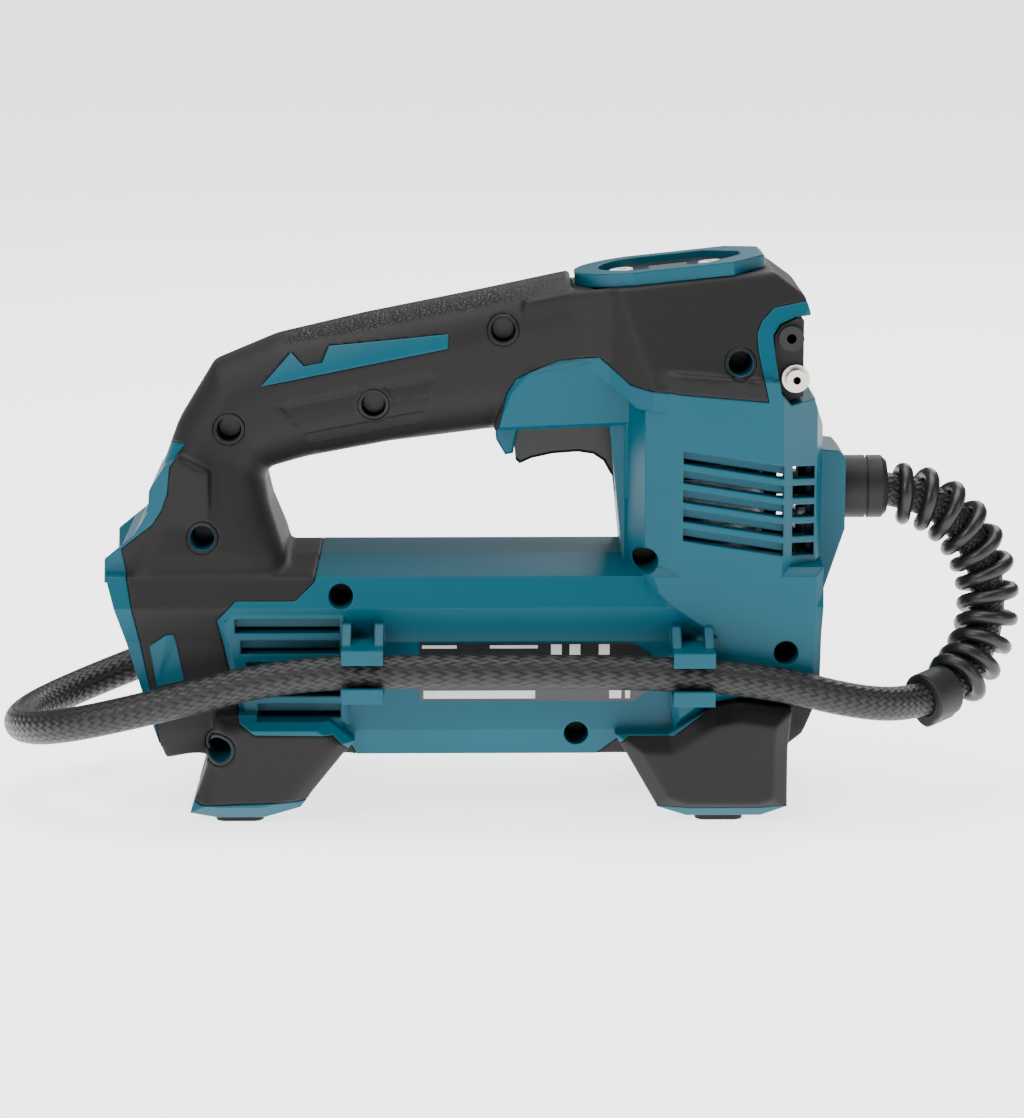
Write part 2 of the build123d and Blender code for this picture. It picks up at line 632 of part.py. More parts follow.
# ---- compressor ----
ROD_MID = ROD_X + ROD_T / 2
with BuildPart() as piston_rod:
    barrel(ROD_X, ROD_X + ROD_T, 6.5, CRANK_Z + THROW)
    with Locations((ROD_MID, 0, (CRANK_Z + THROW + PISTON_TOP) / 2)):
        Box(5, 8, PISTON_TOP - CRANK_Z - THROW - 4)
    with Locations((ROD_MID, 0, PISTON_TOP - 4.5)):
        Cylinder(BORE_R - 1.2, 2.6)
    with Locations((ROD_MID, 0, PISTON_TOP - 0.8)):
        Cylinder(BORE_R - 2.5, 1.6)
    with Locations((ROD_MID, 0, PISTON_TOP - 2.4)):
        Cylinder(6.0, 1.6)
    barrel(ROD_X - 1, ROD_X + ROD_T + 1, CRANK_PIN_R + 0.5, CRANK_Z + THROW, mode=Mode.SUBTRACT)

with BuildPart() as piston_seal:
    with Locations((ROD_MID, 0, PISTON_TOP - 2.4)):
        Cylinder(BORE_R - FIT, 1.6)
        Cylinder(6.0, 3, mode=Mode.SUBTRACT)

with BuildPart() as cylinder:
    with Locations((ROD_MID, 0, (CYLINDER_LOW + CYLINDER_HIGH) / 2)):
        Cylinder(BORE_R + CYLINDER_WALL, CYLINDER_HIGH - CYLINDER_LOW)
    for level in range(5):
        with Locations((ROD_MID, 0, CYLINDER_LOW + 4 + 5 * level)):
            Cylinder(BORE_R + CYLINDER_WALL + 2.2, 1.4)
    with Locations((ROD_MID, 0, (CYLINDER_LOW + CYLINDER_HIGH) / 2)):
        Cylinder(BORE_R, 40, mode=Mode.SUBTRACT)

with BuildPart() as cylinder_head:
    with BuildSketch(Plane.XY.offset(CYLINDER_HIGH)):
        with Locations((ROD_MID, 0)):
            RectangleRounded(35, 35, 5)
    extrude(amount=HEAD_T)
    with Locations((ROD_MID, 0, CYLINDER_HIGH + HEAD_T)):
        for k in range(5):
            with Locations((0, -12 + 6 * k, 0)):
                Box(36, 2.4, 8, mode=Mode.SUBTRACT)
    barrel(ROD_MID + 8, ROD_MID + 30, 3.0 + FIT, GLAND_Z, mode=Mode.SUBTRACT)
    with Locations((ROD_MID, 0, CYLINDER_HIGH)):
        with GridLocations(27, 27, 2, 2):
            Cylinder(1.5, 60, mode=Mode.SUBTRACT)

with BuildPart() as head_screws:
    with Locations((ROD_MID, 0, CYLINDER_HIGH + HEAD_T + 1)):
        with GridLocations(27, 27, 2, 2):
            Cylinder(2.6, 2)
    with Locations((ROD_MID, 0, CYLINDER_HIGH + HEAD_T / 2 + 0.05)):
        with GridLocations(27, 27, 2, 2):
            Cylinder(1.5, HEAD_T - 0.1)

with BuildPart() as pressure_sensor:
    with Locations((ROD_MID + 12, 0, CYLINDER_HIGH + HEAD_T + 3)):
        Box(7, 9, 6)

with BuildPart() as air_tube:
    barrel(ROD_MID + 8, 123.0, 3.0, GLAND_Z)
    barrel(ROD_MID + 7, 124.0, 1.8, GLAND_Z, mode=Mode.SUBTRACT)

# ---- hose ----
with BuildPart() as hose_gland:
    barrel(FRONT, FRONT + GLAND_LEN, GLAND_R, GLAND_Z)
    barrel(FRONT + 8.6, FRONT + 9.6, GLAND_R + 1, GLAND_Z, mode=Mode.SUBTRACT)
    barrel(FRONT + 8, FRONT + 10.2, GLAND_R - 1, GLAND_Z)
    barrel(123.0, FRONT + 1, 8.0, GLAND_Z)
    barrel(122.0, FRONT + GLAND_LEN + 1, 2.2, GLAND_Z, mode=Mode.SUBTRACT)
    barrel(HOSE_START - 1, FRONT + GLAND_LEN + 1, HOSE_R + 1.2, GLAND_Z, mode=Mode.SUBTRACT)
    chamfer(hose_gland.faces().sort_by(Axis.X)[-1].outer_wire().edges(), 2.0)

HOSE_POINTS = [
    (HOSE_START, 0, GLAND_Z), (170, 0, 118), (187, 0, 106), (197, 0, 87), (197, -5, 66), (187, -16, 49.5),
    (170, -32, 43), (146, -48.5, 45.5), (106, -54.3, 57.2), (50, -CLIP_Y, CLIP_Z), (-22, -CLIP_Y, 60.2),
    (-72, -CLIP_Y, 59.4), (-120, -55, 47), (-157, -46, 37), (-176, -18, 31), (-175, 14, 30), (-155, 39, 35),
    (-118, 53, 47), (-70, CLIP_Y, 59), (-18, CLIP_Y, 60.5), (22, CLIP_Y, CLIP_Z),
]


def bend_radii(points):
    """Largest comfortable arc at each inner point of a bent line."""
    radii = []
    for before, here, after in zip(points, points[1:], points[2:]):
        a = Vector(*here) - Vector(*before)
        b = Vector(*after) - Vector(*here)
        half_turn = math.radians(a.get_angle(b)) / 2
        radii.append(0.45 * min(a.length, b.length) / math.tan(half_turn))
    return radii


HOSE_RADII = bend_radii(HOSE_POINTS)

with BuildPart() as hose:
    with BuildLine() as hose_line:
        FilletPolyline(*HOSE_POINTS, radius=HOSE_RADII)
    with BuildSketch(Plane(origin=HOSE_POINTS[0], z_dir=hose_line.wires()[0] % 0)):
        Circle(HOSE_R)
    sweep()
HOSE_WIRE = hose_line.wires()[0]
HOSE_LENGTH = HOSE_WIRE.length
print("hose length, mm:", round(HOSE_LENGTH))

GUARD_R = 11.5
GUARD_LAST = 6


def partway(points, index, share):
    """Point a share of the way from points[index - 1] to points[index]."""
    a = Vector(*points[index - 1])
    b = Vector(*points[index])
    return tuple(a + (b - a) * share)


GUARD_POINTS = [
    partway(HOSE_POINTS, 1, 0.43), *HOSE_POINTS[1:GUARD_LAST], partway(HOSE_POINTS, GUARD_LAST, 0.5),
]
with BuildPart() as bend_guard:
    with BuildLine() as guard_line:
        FilletPolyline(*GUARD_POINTS, radius=HOSE_RADII[:GUARD_LAST - 1])
    with BuildSketch(Plane(origin=GUARD_POINTS[0], z_dir=guard_line.wires()[0] % 0)):
        Circle(GUARD_R)
        Circle(HOSE_R + 0.25, mode=Mode.SUBTRACT)
    sweep()
GUARD_LENGTH = guard_line.wires()[0].length

with BuildPart() as hose_collar:
    collar_at = (GUARD_LENGTH + 8.6 + 8.0) / HOSE_LENGTH
    with Locations(HOSE_WIRE.location_at(collar_at)):
        Cylinder(HOSE_R + 3.4, 13)
        Cylinder(HOSE_R + 0.5, 16, mode=Mode.SUBTRACT)

# ---- chuck at the stored end of the hose, on the far side ----
CHUCK_X = HOSE_POINTS[-1][0]
with BuildPart() as chuck_body:
    barrel(CHUCK_X + 0.2, CHUCK_X + 10, 7.8, CLIP_Z, CLIP_Y)
    barrel(CHUCK_X + 10, CHUCK_X + 40, 8.6, CLIP_Z, CLIP_Y)
    barrel(CHUCK_X + 40, CHUCK_X + 46, 7.4, CLIP_Z, CLIP_Y)
    with Locations((CHUCK_X + 20, CLIP_Y, CLIP_Z + 7)):
        Box(12, 10, 8)
        Box(14, 5.4, 9, mode=Mode.SUBTRACT)
    barrel(CHUCK_X + 30, CHUCK_X + 47, 4.4, CLIP_Z, CLIP_Y, mode=Mode.SUBTRACT)
    with Locations(Location((CHUCK_X + 20, CLIP_Y, CLIP_Z + 9), (90, 0, 0))):
        Cylinder(1.2, 20, mode=Mode.SUBTRACT)

with BuildPart() as chuck_lever:
    with Locations((CHUCK_X + 33, CLIP_Y, CLIP_Z + 10.3)):
        Box(30, 5, 2.6)
    with Locations(Location((CHUCK_X + 20, CLIP_Y, CLIP_Z + 9), (90, 0, 0))):
        Cylinder(2.6, 5)
        Cylinder(1.2 + FIT, 6, mode=Mode.SUBTRACT)

with BuildPart() as chuck_pin:
    with Locations(Location((CHUCK_X + 20, CLIP_Y, CLIP_Z + 9), (90, 0, 0))):
        Cylinder(1.2, 10)

with BuildPart() as chuck_seal:
    barrel(CHUCK_X + 30, CHUCK_X + 36, 4.4, CLIP_Z, CLIP_Y)
    barrel(CHUCK_X + 29, CHUCK_X + 37, 2.6, CLIP_Z, CLIP_Y, mode=Mode.SUBTRACT)

# ---- accessory holder and what it holds ----
HOLDER_HALF = 34.0
NOZZLE_AT = (117.2, 182.4)
ADAPTER_AT = (119.0, 167.4)
TOOL_R = 3.3
with BuildPart() as accessory_holder:
    slab([(111.5, 175), (113.3, 163.5), (117, 159), (122, 160.4), (122, 188.9), (119.4, 189.6), (113.6, 187),
          (111, 183)], -HOLDER_HALF, HOLDER_HALF)
    for x, z in (NOZZLE_AT, ADAPTER_AT):
        for side in (-1, 1):
            with Locations(Location((x, side * 23, z), (90, 0, 0))):
                Cylinder(TOOL_R + FIT, 24, mode=Mode.SUBTRACT)
    for k in range(9):
        with Locations((122, -28 + 7 * k, 175)):
            Box(2.4, 1.6, 40, mode=Mode.SUBTRACT)

with BuildPart() as tapered_nozzle:
    with Locations(Location((NOZZLE_AT[0], -21, NOZZLE_AT[1]), (90, 0, 0))):
        Cylinder(TOOL_R, 18)
    with Locations(Location((NOZZLE_AT[0], -HOLDER_HALF - 1.5, NOZZLE_AT[1]), (90, 0, 0))):
        Cylinder(4.7, 3.0)
    with Locations(Location((NOZZLE_AT[0], -31, NOZZLE_AT[1]), (90, 0, 0))):
        Cylinder(TOOL_R, 8)
    with Locations(Location((NOZZLE_AT[0], -30, NOZZLE_AT[1]), (90, 0, 0))):
        Cylinder(1.8, 60, mode=Mode.SUBTRACT)

with BuildPart() as presta_adapter:
    with Locations(Location((ADAPTER_AT[0], -24, ADAPTER_AT[1]), (90, 0, 0))):
        Cylinder(TOOL_R, 20)
    with Locations(Location((ADAPTER_AT[0], -HOLDER_HALF - 1.2, ADAPTER_AT[1]), (90, 0, 0))):
        Cylinder(5.2, 2.4)
    with Locations(Location((ADAPTER_AT[0], -HOLDER_HALF - 4.9, ADAPTER_AT[1]), (90, 0, 0))):
        Cylinder(3.9, 5.0)
    with Locations(Location((ADAPTER_AT[0], -30, ADAPTER_AT[1]), (90, 0, 0))):
        Cylinder(1.5, 60, mode=Mode.SUBTRACT)

with BuildPart() as ball_needle:
    with Locations(Location((ADAPTER_AT[0], 23, ADAPTER_AT[1]), (90, 0, 0))):
        Cylinder(TOOL_R, 22)
    with Locations(Location((ADAPTER_AT[0], HOLDER_HALF + 1.5, ADAPTER_AT[1]), (90, 0, 0))):
        Cylinder(4.4, 3.0)
    with Locations(Location((ADAPTER_AT[0], HOLDER_HALF + 8, ADAPTER_AT[1]), (90, 0, 0))):
        Cylinder(1.1, 12)

# ---- feet pads, screws, label ----
with BuildPart() as foot_pads:
    for x in (-89.7, 91.5):
        for y in (-36, 36):
            with BuildSketch(Plane.XY):
                with Locations((x, y)):
                    RectangleRounded(18, 14, 4)
            extrude(amount=FLOOR_GAP)

with BuildPart() as housing_screws:
    for x, z in WELLS:
        with Locations(Location((x, -WELL_FLOOR - 1.4, z), (90, 0, 0))):
            Cylinder(3.9, 2.8)
        with Locations(Location((x, 0, z), (90, 0, 0))):
            Cylinder(SCREW_R, 2 * WELL_FLOOR)

with BuildPart() as rating_label:
    with BuildSketch(Plane.XZ.offset(BODY_HALF)):
        with BuildLine():
            Polyline((-21.5, 45.5), (58.7, 45), (65.4, 49.8), (66, 63), (58.7, 67.5), (-21.5, 67.5),
                     close=True)
        make_face()
    extrude(amount=0.3)

# ---- every piece gets its name and its own STEP file ----
housing_right.part.label = "housing_right"
export_step(housing_right.part, "parts/housing_right.step")
housing_left.part.label = "housing_left"
export_step(housing_left.part, "parts/housing_left.step")
grip_right.part.label = "grip_right"
export_step(grip_right.part, "parts/grip_right.step")
grip_left.part.label = "grip_left"
export_step(grip_left.part, "parts/grip_left.step")
front_foot_cover_right.part.label = "front_foot_cover_right"
export_step(front_foot_cover_right.part, "parts/front_foot_cover_right.step")
front_foot_cover_left.part.label = "front_foot_cover_left"
export_step(front_foot_cover_left.part, "parts/front_foot_cover_left.step")
display_bezel.part.label = "display_bezel"
export_step(display_bezel.part, "parts/display_bezel.step")
display_panel.part.label = "display_panel"
export_step(display_panel.part, "parts/display_panel.step")
lcd_module.part.label = "lcd_module"
export_step(lcd_module.part, "parts/lcd_module.step")
power_button.part.label = "power_button"
export_step(power_button.part, "parts/power_button.step")
unit_button.part.label = "unit_button"
export_step(unit_button.part, "parts/unit_button.step")
control_board.part.label = "control_board"
export_step(control_board.part, "parts/control_board.step")
trigger.part.label = "trigger"
export_step(trigger.part, "parts/trigger.step")
trigger_spring.part.label = "trigger_spring"
export_step(trigger_spring.part, "parts/trigger_spring.step")
trigger_switch.part.label = "trigger_switch"
export_step(trigger_switch.part, "parts/trigger_switch.step")
terminal_block.part.label = "terminal_block"
export_step(terminal_block.part, "parts/terminal_block.step")
terminal_contacts.part.label = "terminal_contacts"
export_step(terminal_contacts.part, "parts/terminal_contacts.step")
motor_can.part.label = "motor_can"
export_step(motor_can.part, "parts/motor_can.step")
armature.part.label = "armature"
export_step(armature.part, "parts/armature.step")
motor_end_cap.part.label = "motor_end_cap"
export_step(motor_end_cap.part, "parts/motor_end_cap.step")
cooling_fan.part.label = "cooling_fan"
export_step(cooling_fan.part, "parts/cooling_fan.step")
motor_pinion.part.label = "motor_pinion"
export_step(motor_pinion.part, "parts/motor_pinion.step")
crank_gear.part.label = "crank_gear"
export_step(crank_gear.part, "parts/crank_gear.step")
gear_bearing.part.label = "gear_bearing"
export_step(gear_bearing.part, "parts/gear_bearing.step")
gear_frame.part.label = "gear_frame"
export_step(gear_frame.part, "parts/gear_frame.step")
piston_rod.part.label = "piston_rod"
export_step(piston_rod.part, "parts/piston_rod.step")
piston_seal.part.label = "piston_seal"
export_step(piston_seal.part, "parts/piston_seal.step")
cylinder.part.label = "cylinder"
export_step(cylinder.part, "parts/cylinder.step")
cylinder_head.part.label = "cylinder_head"
export_step(cylinder_head.part, "parts/cylinder_head.step")
head_screws.part.label = "head_screws"
export_step(head_screws.part, "parts/head_screws.step")
pressure_sensor.part.label = "pressure_sensor"
export_step(pressure_sensor.part, "parts/pressure_sensor.step")
air_tube.part.label = "air_tube"
export_step(air_tube.part, "parts/air_tube.step")
hose_gland.part.label = "hose_gland"
export_step(hose_gland.part, "parts/hose_gland.step")
hose.part.label = "hose"
export_step(hose.part, "parts/hose.step")
bend_guard.part.label = "bend_guard"
export_step(bend_guard.part, "parts/bend_guard.step")
hose_collar.part.label = "hose_collar"
export_step(hose_collar.part, "parts/hose_collar.step")
chuck_body.part.label = "chuck_body"
export_step(chuck_body.part, "parts/chuck_body.step")
chuck_lever.part.label = "chuck_lever"
export_step(chuck_lever.part, "parts/chuck_lever.step")
chuck_pin.part.label = "chuck_pin"
export_step(chuck_pin.part, "parts/chuck_pin.step")
chuck_seal.part.label = "chuck_seal"
export_step(chuck_seal.part, "parts/chuck_seal.step")
accessory_holder.part.label = "accessory_holder"
export_step(accessory_holder.part, "parts/accessory_holder.step")
tapered_nozzle.part.label = "tapered_nozzle"
export_step(tapered_nozzle.part, "parts/tapered_nozzle.step")
presta_adapter.part.label = "presta_adapter"
export_step(presta_adapter.part, "parts/presta_adapter.step")
ball_needle.part.label = "ball_needle"
export_step(ball_needle.part, "parts/ball_needle.step")
foot_pads.part.label = "foot_pads"
export_step(foot_pads.part, "parts/foot_pads.step")
housing_screws.part.label = "housing_screws"
export_step(housing_screws.part, "parts/housing_screws.step")
rating_label.part.label = "rating_label"
export_step(rating_label.part, "parts/rating_label.step")
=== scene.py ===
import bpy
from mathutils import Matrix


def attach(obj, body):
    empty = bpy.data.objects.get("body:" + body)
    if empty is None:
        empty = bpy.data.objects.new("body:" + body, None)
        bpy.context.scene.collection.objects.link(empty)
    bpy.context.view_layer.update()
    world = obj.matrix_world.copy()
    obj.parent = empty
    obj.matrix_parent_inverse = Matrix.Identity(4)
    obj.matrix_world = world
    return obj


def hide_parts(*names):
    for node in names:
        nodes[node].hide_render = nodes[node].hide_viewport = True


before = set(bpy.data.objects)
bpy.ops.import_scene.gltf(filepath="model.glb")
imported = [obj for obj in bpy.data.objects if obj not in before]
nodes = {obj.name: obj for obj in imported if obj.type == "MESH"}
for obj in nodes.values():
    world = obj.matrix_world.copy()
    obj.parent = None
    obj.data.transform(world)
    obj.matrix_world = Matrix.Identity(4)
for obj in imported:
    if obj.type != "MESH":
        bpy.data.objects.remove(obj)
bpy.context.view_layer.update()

import math
import random

import bmesh
import bpy
from mathutils import Vector
from mathutils.bvhtree import BVHTree

scene = bpy.context.scene


# ---- Camera. It stands to the tool's right side, a little above it, with a long lens. ----
eye = bpy.data.objects.new("camera", bpy.data.cameras.new("camera"))
scene.collection.objects.link(eye)
eye.location = (-0.005, -1.472, 0.3785)
aim = Vector((0.0138, 0.0, 0.0923))
eye.rotation_euler = (aim - eye.location).to_track_quat("-Z", "Y").to_euler()
eye.data.lens = 125.6
eye.data.sensor_width = 36.0
eye.data.dof.use_dof = False
eye.data.clip_end = 30.0
scene.camera = eye


# ---- Shader maths: a socket that adds and multiplies like a number, and a paint that holds the tree. ----
class Signal:
    def __init__(self, paint, socket):
        self.paint = paint
        self.socket = socket

    def math(self, operation, *others):
        made = self.paint.node("ShaderNodeMath", {"operation": operation}, [self, *others])
        return Signal(self.paint, made.outputs[0])

    def __add__(self, other):
        return self.math("ADD", other)

    def __sub__(self, other):
        return self.math("SUBTRACT", other)

    def __mul__(self, other):
        return self.math("MULTIPLY", other)

    def __truediv__(self, other):
        return self.math("DIVIDE", other)

    def __neg__(self):
        return self.math("MULTIPLY", -1.0)

    def __rsub__(self, other):
        return (-self) + other

    __radd__ = __add__
    __rmul__ = __mul__

    def above(self, edge, soft=0.0):
        if soft:
            return ((self - edge) / soft + 0.5).math("MINIMUM", 1.0).math("MAXIMUM", 0.0)
        return self.math("GREATER_THAN", edge)

    def below(self, edge, soft=0.0):
        return 1.0 - self.above(edge, soft)


class Paint:
    def __init__(self, name, colour, roughness, metallic=0.0, **constants):
        self.material = bpy.data.materials.new(name)
        self.material.use_nodes = True
        self.tree = self.material.node_tree
        self.shader = self.tree.nodes["Principled BSDF"]
        self.shader.inputs["Base Color"].default_value = (*colour, 1.0)
        self.shader.inputs["Roughness"].default_value = roughness
        self.shader.inputs["Metallic"].default_value = metallic
        for label, value in constants.items():
            self.shader.inputs[label.replace("_", " ")].default_value = value

    def node(self, kind, settings=None, inputs=()):
        made = self.tree.nodes.new(kind)
        for key, value in (settings or {}).items():
            setattr(made, key, value)
        pairs = inputs.items() if isinstance(inputs, dict) else enumerate(inputs)
        for key, value in pairs:
            if isinstance(value, Signal):
                self.tree.links.new(value.socket, made.inputs[key])
            elif value is not None:
                made.inputs[key].default_value = value
        return made

    def place(self, kind="Object"):
        return Signal(self, self.node("ShaderNodeTexCoord").outputs[kind])

    def split(self, vector):
        made = self.node("ShaderNodeSeparateXYZ", inputs=[vector])
        return [Signal(self, made.outputs[i]) for i in range(3)]

    def noise(self, scale, detail=3.0, rough=0.5, vector=None):
        made = self.node("ShaderNodeTexNoise", inputs={
            "Vector": vector or self.place(), "Scale": scale, "Detail": detail, "Roughness": rough})
        return Signal(self, made.outputs[0])

    def cells(self, scale, feature="F1", vector=None):
        made = self.node("ShaderNodeTexVoronoi", {"feature": feature}, {
            "Vector": vector or self.place(), "Scale": scale})
        return Signal(self, made.outputs["Distance"])

    def mix(self, factor, low, high):
        made = self.node("ShaderNodeMix", {"data_type": "RGBA"})
        self.tree.links.new(factor.socket, made.inputs["Factor"])
        for key, value in ((6, low), (7, high)):
            if isinstance(value, Signal):
                self.tree.links.new(value.socket, made.inputs[key])
            else:
                made.inputs[key].default_value = (*value, 1.0)
        return Signal(self, made.outputs[2])

    def feed(self, label, signal):
        self.tree.links.new(signal.socket, self.shader.inputs[label])
        return self

    def bump(self, height, depth, strength=1.0):
        made = self.node("ShaderNodeBump", inputs={"Height": height, "Distance": depth, "Strength": strength})
        self.tree.links.new(made.outputs["Normal"], self.shader.inputs["Normal"])
        return self

    def on(self, *names):
        for name in names:
            mesh = nodes[name].data
            mesh.materials.clear()
            mesh.materials.append(self.material)
        return self


# ---- Floor and studio: a white sweep, one large soft box overhead, a key to the left of the camera and a
# weaker fill to its right. The room itself stays dim, so the black and teal keep their depth. ----
floor_mesh = bpy.data.meshes.new("floor")
floor_mesh.from_pydata([(-8, -5, 0), (8, -5, 0), (8, 10, 0), (-8, 10, 0)], [], [(0, 1, 2, 3)])
floor = bpy.data.objects.new("floor", floor_mesh)
scene.collection.objects.link(floor)
floor_mesh.materials.append(Paint("floor white", (0.9, 0.9, 0.9), 1.0, Specular_IOR_Level=0.0,
                                  Emission_Color=(1, 1, 1, 1), Emission_Strength=2.2).material)
scene.world = bpy.data.worlds.new("studio")
scene.world.use_nodes = True
scene.world.node_tree.nodes["Background"].inputs["Color"].default_value = (1, 1, 1, 1)
scene.world.node_tree.nodes["Background"].inputs["Strength"].default_value = 0.25
for label, place, size, watts in (
    ("lamp_over", (-0.1, 0.1, 1.8), 1.6, 46),
    ("lamp_key", (-1.3, -1.5, 1.5), 0.8, 30),
    ("lamp_fill", (1.5, -1.2, 0.8), 0.7, 9),
    ("lamp_back", (0.6, 1.6, 1.2), 0.9, 14),
):
    light = bpy.data.lights.new(label, "AREA")
    light.energy = watts
    light.size = size
    lamp = bpy.data.objects.new(label, light)
    lamp.location = place
    lamp.rotation_euler = (Vector((0, 0, 0.1)) - Vector(place)).to_track_quat("-Z", "Y").to_euler()
    scene.collection.objects.link(lamp)


def add_mesh(name, verts, faces, paint, body="pump_body", smooth=False):
    """A new piece from points and faces in the tool's own frame, riding on one body."""
    mesh = bpy.data.meshes.new(name)
    mesh.from_pydata([tuple(v) for v in verts], [], faces)
    mesh.update()
    piece = bpy.data.objects.new(name, mesh)
    scene.collection.objects.link(piece)
    mesh.materials.append(paint.material)
    if smooth:
        mesh.shade_smooth()
    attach(piece, body)
    return piece


# ---- Case halves. Glass-filled nylon mouldings, a fine spark-eroded skin. Where a screw well comes up
# through the grip, the elastomer covers the end of its sleeve; here that end only takes the elastomer's colour.
# ----
teal = Paint("teal nylon", (0.0, 0.066, 0.1), 0.42, Specular_IOR_Level=0.25)
x, y, z = teal.split(teal.place())
skin = teal.noise(2600, 2)
cloud = teal.noise(30, 3)
lip = None
for well_x, well_z, inner in ((0.0103, 0.184, 0.0), (-0.0385, 0.156, 0.0), (-0.0928, 0.147, 0.0),
                              (-0.1028, 0.1072, 0.0047), (0.0982, 0.1735, 0.0047), (-0.0965, 0.0296, 0.0047)):
    far = (((x - well_x) * (x - well_x)) + ((z - well_z) * (z - well_z))).math("SQRT")
    cap = far.below(0.0061) * far.above(inner) * y.math("ABSOLUTE").above(0.0155)
    lip = cap if lip is None else lip.math("MAXIMUM", cap)
tint = teal.mix(cloud, (0.0, 0.062, 0.095), (0.0, 0.070, 0.106))
teal.feed("Base Color", teal.mix(lip, tint, (0.008, 0.0075, 0.0078)))
teal.feed("Roughness", 0.36 + skin * 0.14)
round_edge = teal.node("ShaderNodeBevel", {"samples": 6}, {"Radius": 0.0009})
fine_skin = teal.node("ShaderNodeBump", inputs={"Height": skin, "Distance": 0.00006, "Strength": 0.35})
teal.tree.links.new(round_edge.outputs["Normal"], fine_skin.inputs["Normal"])
teal.tree.links.new(fine_skin.outputs["Normal"], teal.shader.inputs["Normal"])
teal.on("housing_right", "housing_left", "display_bezel")

# ---- Soft grip. Elastomer overmoulded on both case halves and trimmed to one skin round the handle, the
# column and the rear foot. Its edges are rolled by the mould, the handle top is pebbled like leather, and
# the flanks carry stepped ridges where the palm closes. ----
soft = Paint("soft grip", (0.012, 0.0112, 0.0116), 0.6, Specular_IOR_Level=0.22)
x, y, z = soft.split(soft.place())
along_grip = z - x * 0.195
on_top = along_grip.above(0.1915, 0.002) * x.above(-0.072, 0.004) * x.below(0.020, 0.03)
pebble = soft.cells(520, "DISTANCE_TO_EDGE").math("MINIMUM", 0.22)
fine = soft.noise(1900, 3)
parting = y.math("ABSOLUTE").below(0.00022, 0.0002)
soft.feed("Base Color", soft.mix(fine, (0.0075, 0.007, 0.0073), (0.0125, 0.0118, 0.012)))
soft.feed("Roughness", 0.5 + fine * 0.14 - on_top * 0.04)
soft.bump(fine * 0.05 + on_top * pebble * 2.0 - parting * 0.6, 0.0009, 0.9)

case = bmesh.new()
for half in ("housing_right", "housing_left"):
    case.from_mesh(nodes[half].data)
case_skin = BVHTree.FromBMesh(case)
case.free()


RIDGE_LINES = (0.1696, 0.1629, 0.1570, 0.1521, 0.1476)
RIDGE_LEAN = 0.195
RIDGE_DEPTH = 0.0008


def ridge_depth(at):
    """How far the skin steps in at a point of the grip's flank: deepest under each line, out again at the next."""
    level = at.z - RIDGE_LEAN * at.x
    rear = -0.0740 + (0.155 - at.z) * 0.837
    front = -0.0150 - (0.167 - at.z) * 0.316
    ends = min(max((at.x - rear) / 0.0008, 0.0), 1.0) * min(max((front - at.x) / 0.0008, 0.0), 1.0)
    if ends == 0.0 or abs(at.y) < 0.009:
        return 0.0
    for upper, lower in zip(RIDGE_LINES, RIDGE_LINES[1:]):
        if lower < level <= upper:
            return RIDGE_DEPTH * ends * (level - lower) / (upper - lower)
    return 0.0


def rolled_skin(name, halves, grid, rolls, keep, paint, ridged=False):
    """One soft skin from both moulded halves: free of the case it rolls smooth, and where it meets it it stays."""
    raw = bmesh.new()
    for half in halves:
        raw.from_mesh(nodes[half].data)
    mesh = bpy.data.meshes.new(name)
    raw.to_mesh(mesh)
    raw.free()
    rough = bpy.data.objects.new(name + "_raw", mesh)
    scene.collection.objects.link(rough)
    cells = rough.modifiers.new("grid", "REMESH")
    cells.mode = "VOXEL"
    cells.voxel_size = grid
    depsgraph = bpy.context.evaluated_depsgraph_get()
    made = bpy.data.meshes.new_from_object(rough.evaluated_get(depsgraph))
    bpy.data.objects.remove(rough)
    skin_piece = bpy.data.objects.new(name, made)
    scene.collection.objects.link(skin_piece)
    free = skin_piece.vertex_groups.new(name="free")
    depth = 0.0025
    for vertex in made.vertices:
        away = case_skin.find_nearest(vertex.co)[3] / depth
        share = min(max((away - 0.55) / 0.4, 0.0), 1.0)
        if share > 0.0:
            free.add([vertex.index], share, "REPLACE")
    roll = skin_piece.modifiers.new("roll", "SMOOTH")
    roll.factor = 0.5
    roll.iterations = rolls
    roll.vertex_group = "free"
    edge = skin_piece.modifiers.new("edge", "SMOOTH")
    edge.factor = 0.5
    edge.iterations = 4
    depsgraph = bpy.context.evaluated_depsgraph_get()
    rolled = bpy.data.meshes.new_from_object(skin_piece.evaluated_get(depsgraph))
    if ridged:
        outward = [vertex.normal.copy() for vertex in rolled.vertices]
        for vertex, away in zip(rolled.vertices, outward):
            depth_here = ridge_depth(vertex.co)
            if depth_here and case_skin.find_nearest(vertex.co)[3] > 0.0012:
                vertex.co -= away * depth_here
    skin_piece.modifiers.clear()
    skin_piece.data = rolled
    thin = skin_piece.modifiers.new("thin", "DECIMATE")
    thin.ratio = keep
    depsgraph = bpy.context.evaluated_depsgraph_get()
    final = bpy.data.meshes.new_from_object(skin_piece.evaluated_get(depsgraph))
    skin_piece.modifiers.clear()
    skin_piece.data = final
    final.materials.clear()
    final.materials.append(paint.material)
    final.shade_smooth()
    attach(skin_piece, "pump_body")
    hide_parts(*halves)
    return skin_piece


grip_skin = rolled_skin("grip_skin", ("grip_right", "grip_left"), 0.0006, 60, 0.3, soft, ridged=True)
rolled_skin("front_foot_skin", ("front_foot_cover_right", "front_foot_cover_left"), 0.0006, 6, 0.35, soft)

